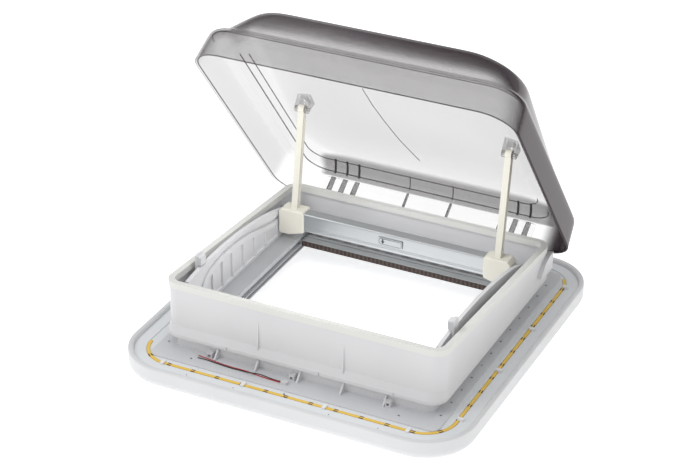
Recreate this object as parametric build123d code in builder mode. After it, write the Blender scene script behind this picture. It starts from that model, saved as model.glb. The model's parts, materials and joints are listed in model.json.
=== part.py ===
"""Roof vent cover: hinged double-skin dome on a flanged roof frame, with a stay bow, a ceiling
frame that carries a light strip, and a cassette with a blackout blind and a fly screen.

Millimetres. X runs along the hinge, +Y points to the hinge side, +Z is up. The origin is at the
middle of the ceiling frame's lowest face. The dome is modelled open, resting on its open stop.
"""

import math
import os

from build123d import *

os.makedirs("parts", exist_ok=True)

# ---------------------------------------------------------------- driving dimensions
CUTOUT = 400.0  # square hole in the roof
CLEAR = 338.0  # clear opening between the ledges of the blind cassette

# ceiling frame, the room-side fascia, and the light panel let into it
CEILING_X, CEILING_Y, CEILING_R = 548.0, 560.0, 78.0
CEILING_H = 34.0
CEILING_SKIN = 3.0
RIM_WIDTH = 9.0
PANEL_Z, PANEL_T = 25.0, 3.0
PANEL_TOP = PANEL_Z + PANEL_T
OPENING = 394.0  # hole of the ceiling frame, round the neck
OPENING_WALL = 3.0
CLAMP_PLACES = [(x, y) for x in (-209.0, 209.0) for y in (-130.0, 130.0)]
CLAMP_R = 2.0
LED_X, LED_Y, LED_R = 488.0, 501.0, 48.0
LED_W, LED_T = 4.6, 1.8
GROOVE_W, GROOVE_D = 6.4, 1.4
LED_CLIPS_FRONT = (-198.7, -66.7, 63.1, 192.3)
LED_CLIPS_RIGHT = (-196.0, -56.5, 69.7, 206.0)
CLIP_SHIFT = 3.4  # the clips of the right side stand this much off the strip's middle
CLIP_LOW, CLIP_TALL = 2.4, 4.2

# roof frame: flange on the roof, neck through the hole, collar above
FLANGE_X, FLANGE_Y, FLANGE_T, FLANGE_R = 460.0, 480.0, 2.0, 12.0
FLANGE_TOP = PANEL_TOP + FLANGE_T
NECK = CUTOUT - 8.0
NECK_BOTTOM = 5.0
BASE_X, BASE_Y, BASE_R = 416.0, 404.0, 14.0
WALL = 3.0
SHELF_Z, SHELF_T = 48.0, 3.0
DRIP_X, DRIP_Y, DRIP_R = 446.0, 418.0, 26.0
DRIP_LIP = 5.0
FLARE_TOP = 64.0
COLLAR_X, COLLAR_Y, COLLAR_R = 443.0, 403.0, 22.0
RIM_MID_Z = 120.0  # height of the sealing plane over the middle of the opening
RIM_FALL = math.degrees(math.atan(0.0744))  # the rim falls towards the hinge
GASKET_CAP, GASKET_BAND = 3.0, 10.0
SCREW_PITCH = 36.1
SCREW_ROWS = 12
SCREW_X = 218.5
SCREW_R = 1.9

# blind cassette
LEDGE_Z = 56.0
CASSETTE_X, CASSETTE_Y = 408.0, 396.0
BLIND_Z, BLIND_T = 39.5, 8.5
SCREEN_Z, SCREEN_T = 31.5, 5.5
SLOT_DEPTH = 6.0
BAR_DEPTH = 22.0
BLIND_FRONT = 128.0  # front face of the parked blind bar
SCREEN_BAR_DEPTH = 12.0
PLEAT_T = 0.4  # half the upright thickness of a folded sheet

# guide panels inside the collar
GUIDE_FACE, GUIDE_T = 197.0, 6.0
GUIDE_SLOT_W = 6.4

# dome: lid axes are measured from the hinge axis, s towards the free edge and h away from the roof
HINGE_Y, HINGE_Z = 215.0, 90.0
OPEN_ANGLE = 52.0
DOME_SKIN = 3.0
PANE_SKIN = 2.5
SEAL_H = 14.3
HINGE_PIN_R = 3.0
HINGE_BORE_R = 3.05
HOOK_X = (126.0, 147.0, 168.0)
KNUCKLE_X = (115.5, 136.5, 157.5, 178.5)

# stay bow: two arms with end blocks, joined by the operating bar
ARM_X = 171.0
PIN_S, PIN_H = 189.0, 54.0  # bracket pin in lid axes
BOW_Y, BOW_Z = 113.0, 93.0  # end of the bow, in the guide slot
BLOCK_IN, BLOCK_OUT = 151.0, 195.0
BAR_BOTTOM, BAR_TOP = 79.0, 110.0
BAR_FRONT, BAR_BACK = 105.0, 124.0
PIVOT_R, PIVOT_BORE_R = 3.0, 3.05
BOLT_R, BOLT_BORE_R = 3.0, 3.06
BUTTON_W, BUTTON_H = 40.0, 12.0
BUTTON_X, BUTTON_Z = -2.0, 97.0
LINK_INNER = 32.0  # inner end of each bolt's flat link, beside the button

# wires of the light strip
WIRE_D = 1.4
WIRE_RED = [
    (-19, -225.4, 31.4), (-29, -225.0, 30.9), (-42, -224.4, 30.8), (-55, -223.2, 30.8),
    (-69, -221.0, 30.8), (-84, -220.2, 30.8), (-100, -220.6, 30.8), (-117, -219.6, 30.8),
    (-133, -217.8, 30.8), (-147, -215.4, 30.8), (-160, -214.4, 31.0),
]
WIRE_BLACK = [
    (-19, -223.2, 31.4), (-29, -222.9, 30.9), (-40, -222.0, 31.1), (-51, -221.6, 32.4),
    (-58, -222.2, 33.0), (-66, -223.8, 33.0), (-74, -224.0, 31.9), (-86, -222.8, 30.9),
    (-101, -223.2, 30.8), (-117, -222.2, 30.8), (-133, -220.6, 30.8), (-146, -219.2, 30.8),
    (-158, -219.9, 31.0),
]

RIM = Plane(
    origin=(0, 0, RIM_MID_Z),
    x_dir=(1, 0, 0),
    z_dir=(0, math.sin(math.radians(RIM_FALL)), math.cos(math.radians(RIM_FALL))),
)
LID = Plane(
    origin=(0, HINGE_Y, HINGE_Z),
    x_dir=(1, 0, 0),
    z_dir=(0, math.sin(math.radians(OPEN_ANGLE)), math.cos(math.radians(OPEN_ANGLE))),
)


def save(piece, name):
    """Label a finished piece and write its STEP file."""
    piece.part.label = name
    export_step(piece.part, f"parts/{name}.step")


def side_plane(x):
    """Plane across the roof frame at x: its axes are Y and Z."""
    return Plane(origin=(x, 0, 0), x_dir=(0, 1, 0), z_dir=(1, 0, 0))


def lid_point(s, h):
    """Y and Z of a point given in lid axes."""
    a = math.radians(OPEN_ANGLE)
    y = HINGE_Y - s * math.cos(a) + h * math.sin(a)
    z = HINGE_Z + s * math.sin(a) + h * math.cos(a)
    return y, z


def lid_side(x):
    """Plane across the dome at x: its axes are -s and h."""
    return Plane(origin=(x, HINGE_Y, HINGE_Z), x_dir=LID.y_dir, z_dir=(1, 0, 0))


# ---------------------------------------------------------------- ceiling frame
with BuildPart() as ceiling_frame:
    with BuildSketch(Plane.XY):
        RectangleRounded(CEILING_X, CEILING_Y, CEILING_R)
    extrude(amount=CEILING_H)
    fillet(ceiling_frame.faces().sort_by(Axis.Z)[0].outer_wire().edges(), 15)
    top_edges = ceiling_frame.faces().sort_by(Axis.Z)[-1].outer_wire().edges()
    fillet(top_edges, 3)
    for z, height, inset in (
        (CEILING_SKIN, PANEL_Z - 3 - CEILING_SKIN, 13.0),
        (PANEL_Z - 3, 3.0, 16.0),
        (PANEL_Z, CEILING_H - PANEL_Z, RIM_WIDTH),
    ):
        with BuildSketch(Plane.XY.offset(z)):
            RectangleRounded(CEILING_X - 2 * inset, CEILING_Y - 2 * inset, CEILING_R - inset)
        extrude(amount=height, mode=Mode.SUBTRACT)
    rim_edges = ceiling_frame.faces().sort_by(Axis.Z)[-1].inner_wires()[0].edges()
    fillet(rim_edges, 4.5)
    with BuildSketch(Plane.XY):
        RectangleRounded(OPENING + 2 * OPENING_WALL, OPENING + 2 * OPENING_WALL, 14)
    extrude(amount=PANEL_TOP)
    with BuildSketch(Plane.XY):
        RectangleRounded(OPENING, OPENING, 11)
    extrude(amount=CEILING_H, mode=Mode.SUBTRACT)
    # bosses of the clamp screws
    with Locations(*[(x, y, CEILING_SKIN) for x, y in CLAMP_PLACES]):
        Cylinder(7, PANEL_Z - 0.1 - CEILING_SKIN, align=(Align.CENTER, Align.CENTER, Align.MIN))
        Cylinder(CLAMP_R + 0.3, 2 * PANEL_Z, mode=Mode.SUBTRACT)
    with Locations(*[(x, y, 0) for x, y in CLAMP_PLACES]):
        Cylinder(5, 7, align=(Align.CENTER, Align.CENTER, Align.MIN), mode=Mode.SUBTRACT)
save(ceiling_frame, "ceiling_frame")

with BuildPart() as light_panel:
    inset = RIM_WIDTH + 0.2
    with BuildSketch(Plane.XY.offset(PANEL_Z)):
        RectangleRounded(CEILING_X - 2 * inset, CEILING_Y - 2 * inset, CEILING_R - inset)
        RectangleRounded(NECK + 10, NECK + 10, 12, mode=Mode.SUBTRACT)
    extrude(amount=PANEL_T)
    with BuildSketch(Plane.XY.offset(PANEL_TOP)):
        RectangleRounded(LED_X + GROOVE_W, LED_Y + GROOVE_W, LED_R + GROOVE_W / 2)
        RectangleRounded(LED_X - GROOVE_W, LED_Y - GROOVE_W, LED_R - GROOVE_W / 2, mode=Mode.SUBTRACT)
    extrude(amount=-GROOVE_D, mode=Mode.SUBTRACT)
    with Locations(*[(x, y, PANEL_TOP) for x in (-152, -76, 76, 152) for y in (-263.5, 263.5)]):
        Cylinder(1.1, 8, mode=Mode.SUBTRACT)
    with Locations((-3.5, -245.5, PANEL_TOP)):
        Cylinder(1.8, 8, mode=Mode.SUBTRACT)
    with Locations(*[(x, y, PANEL_TOP) for x, y in CLAMP_PLACES]):
        Cylinder(CLAMP_R + 0.3, 8, mode=Mode.SUBTRACT)
save(light_panel, "light_panel")

LED_BOTTOM = PANEL_TOP - GROOVE_D
for strip_name, low, high in (
    ("led_strip_left", (-260, -270), (-1.0, -205)),
    ("led_strip_right", (1.0, -270), (260, 230)),
):
    with BuildPart() as led_strip:
        with BuildSketch(Plane.XY.offset(LED_BOTTOM)):
            RectangleRounded(LED_X + LED_W, LED_Y + LED_W, LED_R + LED_W / 2)
            RectangleRounded(LED_X - LED_W, LED_Y - LED_W, LED_R - LED_W / 2, mode=Mode.SUBTRACT)
        extrude(amount=LED_T)
        with BuildSketch(Plane.XY.offset(LED_BOTTOM)):
            with Locations(((low[0] + high[0]) / 2, (low[1] + high[1]) / 2)):
                Rectangle(high[0] - low[0], high[1] - low[1])
        extrude(amount=LED_T, mode=Mode.INTERSECT)
    save(led_strip, strip_name)

with BuildPart() as led_clips:
    places = [(x, -LED_Y / 2, 0, 0) for x in LED_CLIPS_FRONT]
    places += [(LED_X / 2, y, 90, -CLIP_SHIFT) for y in LED_CLIPS_RIGHT]
    for x, y, turn, shift in places:
        with BuildSketch(Plane((x, y, PANEL_TOP), x_dir=(1, 0, 0)).rotated((0, 0, turn))):
            with Locations((0, shift)):
                RectangleRounded(5.5, 9 if shift else 11, 1)
        extrude(amount=CLIP_TALL if shift else CLIP_LOW)
        with BuildSketch(Plane((x, y, PANEL_TOP), x_dir=(1, 0, 0)).rotated((0, 0, turn))):
            Rectangle(8, LED_W + 1.2)
        extrude(amount=0.6, mode=Mode.SUBTRACT)
save(led_clips, "led_clips")

with BuildPart() as clamp_screws:
    with Locations(*[(x, y, CEILING_SKIN) for x, y in CLAMP_PLACES]):
        Cylinder(4.2, 3.0, align=(Align.CENTER, Align.CENTER, Align.MIN))
        Cylinder(CLAMP_R, FLANGE_TOP - 0.5 - CEILING_SKIN, align=(Align.CENTER, Align.CENTER, Align.MIN))
save(clamp_screws, "clamp_screws")

with BuildPart() as screw_caps:
    with Locations(*[(x, y, 0.2) for x, y in CLAMP_PLACES]):
        Cylinder(4.9, 1.8, align=(Align.CENTER, Align.CENTER, Align.MIN))
    fillet(screw_caps.faces().filter_by(Axis.Z).group_by(Axis.Z)[0].edges(), 0.8)
save(screw_caps, "screw_caps")

# ---------------------------------------------------------------- roof frame
with BuildPart() as roof_frame:
    with BuildSketch(Plane.XY.offset(PANEL_TOP)):
        RectangleRounded(FLANGE_X, FLANGE_Y, FLANGE_R)
    extrude(amount=FLANGE_T)
    with BuildSketch(Plane.XY.offset(NECK_BOTTOM)):
        RectangleRounded(NECK, NECK, 10)
    extrude(amount=PANEL_TOP - NECK_BOTTOM)
    with BuildSketch(Plane.XY.offset(FLANGE_TOP)):
        RectangleRounded(BASE_X, BASE_Y, BASE_R)
    extrude(amount=SHELF_Z - FLANGE_TOP)
    with BuildSketch(Plane.XY.offset(SHELF_Z)):
        RectangleRounded(DRIP_X, DRIP_Y, DRIP_R)
    extrude(amount=DRIP_LIP)
    with BuildSketch(Plane.XY.offset(SHELF_Z + DRIP_LIP)):
        RectangleRounded(DRIP_X, DRIP_Y, DRIP_R)
    with BuildSketch(Plane.XY.offset(FLARE_TOP)):
        RectangleRounded(COLLAR_X, COLLAR_Y, COLLAR_R)
    loft()
    with BuildSketch(Plane.XY.offset(FLARE_TOP)):
        RectangleRounded(COLLAR_X, COLLAR_Y, COLLAR_R)
    extrude(amount=90)
    split(bisect_by=RIM.offset(-GASKET_CAP), keep=Keep.BOTTOM)
    with BuildSketch(Plane.XY.offset(SHELF_Z + SHELF_T)):
        RectangleRounded(COLLAR_X - 2 * WALL, COLLAR_Y - 2 * WALL, COLLAR_R - WALL)
    extrude(amount=110, mode=Mode.SUBTRACT)
    with BuildSketch(Plane.XY.offset(FLANGE_TOP)):
        RectangleRounded(BASE_X - 2 * WALL, BASE_Y - 2 * WALL, BASE_R - WALL)
    extrude(amount=30, mode=Mode.SUBTRACT)
    with BuildSketch(Plane.XY):
        RectangleRounded(NECK - 2 * WALL, NECK - 2 * WALL, 7)
    extrude(amount=60, mode=Mode.SUBTRACT)
    # tapered ribs up the front and rear walls of the collar
    for x in (-68.0, 68.0):
        for side, rib_top in ((-1, 108), (1, 92)):
            with BuildSketch(side_plane(x - 1.4)):
                with BuildLine():
                    Polyline(
                        (side * (COLLAR_Y / 2 - 1), 60),
                        (side * (COLLAR_Y / 2 + 3.6), 58),
                        (side * (COLLAR_Y / 2 + 3.4), 62),
                        (side * (COLLAR_Y / 2), rib_top),
                        (side * (COLLAR_Y / 2 - 1), rib_top),
                        close=True,
                    )
                make_face()
            extrude(amount=2.8)
    # gussets and clip lugs round the foot of the base wall
    for x in (-133.0, -67.0, 1.0, 69.6, 137.0):
        for side in (-1, 1):
            with BuildSketch(side_plane(x - 1.25)):
                with BuildLine():
                    Polyline(
                        (side * (BASE_Y / 2 - 1), FLANGE_TOP - 1),
                        (side * (BASE_Y / 2 + 15), FLANGE_TOP - 1),
                        (side * (BASE_Y / 2 + 14), FLANGE_TOP + 1.5),
                        (side * (BASE_Y / 2 + 2), SHELF_Z - 4),
                        (side * (BASE_Y / 2 - 1), SHELF_Z - 4),
                        close=True,
                    )
                make_face()
            extrude(amount=2.5)
    for x in (-143.0, -9.0, 143.0):
        with Locations((x, -BASE_Y / 2 - 5, FLANGE_TOP - 0.5)):
            Box(9, 12, 9, align=(Align.CENTER, Align.CENTER, Align.MIN))
        with Locations((x, -BASE_Y / 2 - 6, FLANGE_TOP + 1.5)):
            Box(4.4, 14, 4.4, align=(Align.CENTER, Align.CENTER, Align.MIN), mode=Mode.SUBTRACT)
    # drain slots through the drip lip
    for x in (-116.0, 33.0, 150.0):
        with Locations((x, -DRIP_Y / 2, SHELF_Z + 2)):
            Box(2.2, 3, 7, mode=Mode.SUBTRACT)
    # fixing screw holes of the flange
    rows = [(i - (SCREW_ROWS - 1) / 2) * SCREW_PITCH for i in range(SCREW_ROWS)]
    with Locations(*[(side * SCREW_X, y, PANEL_TOP) for side in (-1, 1) for y in rows]):
        Cylinder(SCREW_R, 10, mode=Mode.SUBTRACT)
    with Locations(*[(x, y, PANEL_TOP) for x in (-166, 166) for y in (-225, 225)]):
        Cylinder(SCREW_R, 10, mode=Mode.SUBTRACT)
    with Locations(*[(x, y, FLANGE_TOP) for x, y in CLAMP_PLACES]):
        Cylinder(CLAMP_R + 0.08, 2 * FLANGE_T, align=(Align.CENTER, Align.CENTER, Align.MAX), mode=Mode.SUBTRACT)
    # hinge knuckles on the rear wall
    for side in (-1, 1):
        for x in KNUCKLE_X:
            with BuildSketch(side_plane(side * x - 6)):
                with Locations((HINGE_Y, HINGE_Z)):
                    Circle(6.5)
                with BuildLine():
                    Polyline(
                        (COLLAR_Y / 2 - 1, HINGE_Z - 18),
                        (HINGE_Y, HINGE_Z - 6.5),
                        (HINGE_Y, HINGE_Z + 6.5),
                        (COLLAR_Y / 2 - 1, HINGE_Z + 2),
                        close=True,
                    )
                make_face()
            extrude(amount=12)
        with BuildSketch(side_plane(side * 147 - 45)):
            with Locations((HINGE_Y, HINGE_Z)):
                Circle(HINGE_BORE_R)
        extrude(amount=90, mode=Mode.SUBTRACT)
        # curved stop lug at each rear corner
        with BuildSketch(side_plane(side * (COLLAR_X / 2 + 2.5) - 4)):
            with BuildLine():
                Polyline((150, 68), (160, FLARE_TOP), (196, FLARE_TOP), (198, 92))
                ThreePointArc((198, 92), (172, 88), (150, 68))
            make_face()
        extrude(amount=8)

# the moulding is kept as three nodes, one above the other: flange and neck, base with drip shelf, collar
with BuildPart() as flange_neck:
    add(roof_frame.part)
    split(bisect_by=Plane.XY.offset(FLANGE_TOP), keep=Keep.BOTTOM)
save(flange_neck, "flange_neck")

with BuildPart() as drip_base:
    add(roof_frame.part)
    split(bisect_by=Plane.XY.offset(FLANGE_TOP), keep=Keep.TOP)
    split(bisect_by=Plane.XY.offset(FLARE_TOP), keep=Keep.BOTTOM)
save(drip_base, "drip_base")

with BuildPart() as collar:
    add(roof_frame.part)
    split(bisect_by=Plane.XY.offset(FLARE_TOP), keep=Keep.TOP)
save(collar, "collar")

with BuildPart() as gasket_wall:
    with BuildSketch(Plane.XY.offset(80)):
        RectangleRounded(COLLAR_X + 0.1, COLLAR_Y + 0.1, COLLAR_R)
        RectangleRounded(COLLAR_X - 2 * WALL - 0.1, COLLAR_Y - 2 * WALL - 0.1, COLLAR_R - WALL, mode=Mode.SUBTRACT)
    extrude(amount=70)
    split(bisect_by=RIM.offset(-GASKET_CAP), keep=Keep.BOTTOM)

with BuildPart() as rim_gasket:
    with BuildSketch(Plane.XY.offset(85)):
        RectangleRounded(COLLAR_X + 3, COLLAR_Y + 3, COLLAR_R + 1.5)
        RectangleRounded(COLLAR_X - 16, COLLAR_Y - 16, COLLAR_R - 8, mode=Mode.SUBTRACT)
    extrude(amount=65)
    split(bisect_by=RIM, keep=Keep.BOTTOM)
    split(bisect_by=RIM.offset(-GASKET_BAND), keep=Keep.TOP)
    add(gasket_wall.part, mode=Mode.SUBTRACT)
save(rim_gasket, "rim_gasket")

for side, side_name in ((-1, "left"), (1, "right")):
    with BuildPart() as hinge_pin:
        with BuildSketch(side_plane(side * 147 - 40)):
            with Locations((HINGE_Y, HINGE_Z)):
                Circle(HINGE_PIN_R)
        extrude(amount=80)
    save(hinge_pin, f"hinge_pin_{side_name}")

with BuildPart() as wire_grommet:
    with Locations((-14, -224.3, FLANGE_TOP)):
        Box(10, 8, 4, align=(Align.CENTER, Align.CENTER, Align.MIN))
    fillet(wire_grommet.edges().filter_by(Axis.Z), 2)
save(wire_grommet, "wire_grommet")


def wire(points, name):
    """A thin lead along straight runs joined by tangent arcs."""
    corners = [Vector(*p) for p in points]
    runs = [b - a for a, b in zip(corners, corners[1:])]
    radii = []
    for first, second in zip(runs, runs[1:]):
        turn = math.radians(first.get_angle(second))
        radii.append(0.45 * min(first.length, second.length) / math.tan(turn / 2))
    print(name, "radii", [round(r, 1) for r in radii])
    with BuildPart() as lead:
        with BuildLine():
            path = FilletPolyline(*points, radius=radii)
        with BuildSketch(Plane(origin=path @ 0, z_dir=path % 0)):
            Circle(WIRE_D / 2)
        sweep()
    length = path.length
    print(name, "length", round(length, 1), "volume", round(lead.part.volume, 1))
    print(name, "section times length", round(math.pi * WIRE_D**2 / 4 * length, 1))
    save(lead, name)


wire(WIRE_RED, "wire_red")
wire(WIRE_BLACK, "wire_black")

# ---------------------------------------------------------------- guide panels and catches
PANEL_TOP_LINE = [(-172, 122), (-130, 126.5), (-60, 128), (20, 122), (80, 112), (130, 98)]
SLOT_LINE = [(113, 92), (84, 95), (50, 103), (17, 111), (-20, 116), (-62, 118), (-100, 114), (-126, 104), (-137, 87)]
POCKET_LINE = [(-118, 92), (-92, 103), (-55, 106), (-15, 103.5), (30, 95.5), (62, 88), (100, 82)]
RIB_PLACES = (-100, -70, -40, -5, 30, 65)
POST_PLACES = (38, 84, 123, 160)

for side, side_name in ((-1, "left"), (1, "right")):
    face = side_plane(side * GUIDE_FACE)
    with BuildPart() as guide_panel:
        with BuildSketch(face):
            with BuildLine():
                Spline(*PANEL_TOP_LINE)
                Polyline((130, 98), (152, 84), (172, 72), (172, LEDGE_Z + 0.6), (-172, LEDGE_Z + 0.6), (-172, 122))
            make_face()
        extrude(amount=side * GUIDE_T)
        with BuildSketch(face):
            with BuildLine() as slot_line:
                Spline(*SLOT_LINE)
            trace(slot_line.line, line_width=GUIDE_SLOT_W)
        extrude(amount=side * 4, mode=Mode.SUBTRACT)
        with BuildSketch(face):
            with BuildLine():
                Spline(*POCKET_LINE)
                Polyline((100, 82), (104, 62), (-118, 62), (-118, 92))
            make_face()
            with Locations(*[(y, 85) for y in RIB_PLACES]):
                Rectangle(2.6, 60, mode=Mode.SUBTRACT)
        extrude(amount=side * 3.5, mode=Mode.SUBTRACT)
        with Locations(*[(side * 210.4, y, 57 + 14) for y in POST_PLACES]):
            Box(15.2, 3, 28)
        split(bisect_by=Plane((0, 0, LEDGE_Z + 0.6)), keep=Keep.TOP)
    save(guide_panel, f"guide_panel_{side_name}")

    with BuildPart() as catch_lug:
        with BuildSketch(side_plane(side * 203.2)):
            with BuildLine():
                Polyline((-119, 112), (-119, 142))
                TangentArc((-119, 142), (-123, 146), tangent=(0, 1))
                Line((-123, 146), (-131, 146))
                TangentArc((-131, 146), (-135, 142), tangent=(-1, 0))
                Polyline((-135, 142), (-135, 112), (-119, 112))
            make_face()
        extrude(amount=side * 4)
        with BuildSketch(side_plane(side * 197.4)):
            with BuildLine():
                Polyline((-120, 129.4), (-120, 141))
                TangentArc((-120, 141), (-123, 144), tangent=(0, 1))
                Line((-123, 144), (-131, 144))
                TangentArc((-131, 144), (-134, 141), tangent=(-1, 0))
                Polyline((-134, 141), (-134, 129.4), (-120, 129.4))
            make_face()
        extrude(amount=side * 6)
    save(catch_lug, f"catch_lug_{side_name}")

# ---------------------------------------------------------------- blind cassette
RAIL_IN = CLEAR / 2
BLIND_SLOT = (BLIND_Z - 0.5, BLIND_T + 1.1)
SCREEN_SLOT = (SCREEN_Z - 0.5, SCREEN_T + 1.1)
COVER_FACE = 168.0
for side, side_name in ((-1, "left"), (1, "right")):
    rail_mid = side * (RAIL_IN + CASSETTE_X / 2) / 2
    with BuildPart() as cassette_rail:
        with Locations((rail_mid, 0, FLANGE_TOP + 0.2)):
            Box(CASSETTE_X / 2 - RAIL_IN, CASSETTE_Y, LEDGE_Z - FLANGE_TOP - 0.2,
                align=(Align.CENTER, Align.CENTER, Align.MIN))
        outer_corners = cassette_rail.edges().filter_by(Axis.Z).sort_by(Axis.X)
        fillet(outer_corners[-2:] if side > 0 else outer_corners[:2], BASE_R - WALL)
        for z, height in (BLIND_SLOT, SCREEN_SLOT):
            with Locations((side * (RAIL_IN + SLOT_DEPTH / 2), 0, z)):
                Box(SLOT_DEPTH, CASSETTE_Y, height, align=(Align.CENTER, Align.CENTER, Align.MIN),
                    mode=Mode.SUBTRACT)
        # hollow underside of the rail, as moulded
        with Locations((side * 190.5, 0, FLANGE_TOP + 0.2)):
            Box(23, CASSETTE_Y - 6, 22, align=(Align.CENTER, Align.CENTER, Align.MIN), mode=Mode.SUBTRACT)
        with Locations(*[(side * 190.5, y, 41.1) for y in (-130, 0, 130)]):
            Box(23.2, 2.4, 22)
    save(cassette_rail, f"cassette_rail_{side_name}")

for side, side_name, lane in ((-1, "front", SCREEN_SLOT), (1, "rear", BLIND_SLOT)):
    with BuildPart() as cassette_cover:
        cover_mid = side * (COVER_FACE + CASSETTE_Y / 2) / 2
        depth = CASSETTE_Y / 2 - COVER_FACE
        with Locations((0, cover_mid, FLANGE_TOP + 0.2)):
            Box(2 * RAIL_IN - 0.4, depth, LEDGE_Z - FLANGE_TOP - 0.2, align=(Align.CENTER, Align.CENTER, Align.MIN))
        fillet(cassette_cover.edges().filter_by(Axis.X).group_by(Axis.Z)[-1], 1.5)
        for z, height in (BLIND_SLOT, SCREEN_SLOT):
            with Locations((0, side * (COVER_FACE + 12), z)):
                Box(2 * RAIL_IN + 1, 24.2, height, align=(Align.CENTER, Align.CENTER, Align.MIN),
                    mode=Mode.SUBTRACT)
    save(cassette_cover, f"cassette_cover_{side_name}")


def pleats(y_start, y_end, z_low, z_high, count, name):
    """A folded sheet as one zigzag solid, from y_start to y_end."""
    step = (y_end - y_start) / count
    rest = (z_low + z_high) / 2
    sheet = [(y_start, rest)]
    for i in range(count):
        sheet.append((y_start + (i + 0.5) * step, z_high - PLEAT_T if i % 2 else z_low + PLEAT_T))
    sheet.append((y_end, rest))
    upper = [(y, z + PLEAT_T) for y, z in sheet]
    lower = [(y, z - PLEAT_T) for y, z in sheet]
    with BuildPart() as folded:
        with BuildSketch(side_plane(-164)):
            with BuildLine():
                Polyline(*upper, *reversed(lower), close=True)
            make_face()
        extrude(amount=328)
    save(folded, name)


BLIND_BACK = BLIND_FRONT + BAR_DEPTH
with BuildPart() as blackout_bar:
    with Locations((0, (BLIND_FRONT + BLIND_BACK) / 2, BLIND_Z)):
        Box(334, BAR_DEPTH, BLIND_T, align=(Align.CENTER, Align.CENTER, Align.MIN))
    fillet(blackout_bar.edges().filter_by(Axis.X), 1.2)
    with Locations((0, BLIND_BACK - 8, BLIND_Z + BLIND_T)):
        Box(334, 1.6, 2, mode=Mode.SUBTRACT)
    for side in (-1, 1):
        with Locations((side * 170.5, (BLIND_FRONT + BLIND_BACK) / 2, BLIND_Z + 0.6)):
            Box(7.6, BAR_DEPTH - 4, BLIND_T - 1.2, align=(Align.CENTER, Align.CENTER, Align.MIN))
save(blackout_bar, "blackout_bar")

with BuildPart() as blackout_brush:
    with Locations((0, BLIND_FRONT - 1.0, BLIND_Z + 0.2)):
        Box(332, 2.0, BLIND_T - 0.4, align=(Align.CENTER, Align.CENTER, Align.MIN))
save(blackout_brush, "blackout_brush")
pleats(BLIND_BACK + 0.3, 167.0, BLIND_Z + 0.6, BLIND_Z + BLIND_T - 0.6, 10, "blackout_pleats")

SCREEN_FRONT = -164.0
with BuildPart() as flyscreen_bar:
    with Locations((0, SCREEN_FRONT + SCREEN_BAR_DEPTH / 2, SCREEN_Z)):
        Box(334, SCREEN_BAR_DEPTH, SCREEN_T, align=(Align.CENTER, Align.CENTER, Align.MIN))
    fillet(flyscreen_bar.edges().filter_by(Axis.X), 1.0)
    for side in (-1, 1):
        with Locations((side * 170.5, SCREEN_FRONT + SCREEN_BAR_DEPTH / 2, SCREEN_Z + 0.5)):
            Box(7.6, SCREEN_BAR_DEPTH - 2, SCREEN_T - 1.0, align=(Align.CENTER, Align.CENTER, Align.MIN))
save(flyscreen_bar, "flyscreen_bar")
pleats(SCREEN_FRONT - 0.3, -178.0, SCREEN_Z + 0.4, SCREEN_Z + SCREEN_T - 0.4, 8, "flyscreen_pleats")

# ---------------------------------------------------------------- dome
# each ring: half width, s at the hinge end, s at the free end, corner, h at the hinge end, h at the free end
DOME_RINGS = [
    (250.0, -14.0, 445.0, 50.0, -6.0, -6.0),
    (246.0, -12.0, 440.5, 47.0, 38.0, 38.0),
    (242.5, -10.5, 437.5, 45.0, 42.0, 42.0),
    (238.0, -8.0, 428.0, 46.0, 47.0, 48.0),
    (220.0, 17.0, 412.0, 76.0, 60.0, 95.0),
    (190.0, 48.0, 382.0, 66.0, 68.0, 100.0),
    (118.0, 115.0, 315.0, 40.0, 77.0, 97.0),
]


def ring_plane(s_low, s_high, h_low, h_high):
    """Lid plane tilted so that it passes h_low at s_low and h_high at s_high, centred between them."""
    s_mid, h_mid = (s_low + s_high) / 2, (h_low + h_high) / 2
    tilt = math.degrees(math.atan2(h_high - h_low, s_high - s_low))
    y, z = lid_point(s_mid, h_mid)
    a = math.radians(OPEN_ANGLE + tilt)
    return Plane(origin=(0, y, z), x_dir=(1, 0, 0), z_dir=(0, math.sin(a), math.cos(a)))


def dome_stack(rings, inset, drop):
    """Solid through the rings, each drawn in by inset and lowered by drop above the first."""
    with BuildPart() as stack:
        for lower, upper in zip(rings, rings[1:]):
            for index, (half, s_low, s_high, corner, h_low, h_high) in enumerate((lower, upper)):
                fall = 0 if (index == 0 and lower is rings[0]) else drop
                plane = ring_plane(s_low, s_high, h_low - fall, h_high - fall)
                length = math.hypot(s_high - s_low, h_high - h_low)
                with BuildSketch(plane):
                    RectangleRounded(2 * (half - inset), length - 2 * inset, corner - inset)
            loft(ruled=True)
    return stack.part


dome_solid = dome_stack(DOME_RINGS, 0, 0)
dome_hollow = dome_stack(DOME_RINGS, DOME_SKIN, DOME_SKIN * 0.9)
with BuildPart() as dome_outer:
    add(dome_solid)
    add(dome_hollow, mode=Mode.SUBTRACT)
save(dome_outer, "dome_outer")

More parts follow.
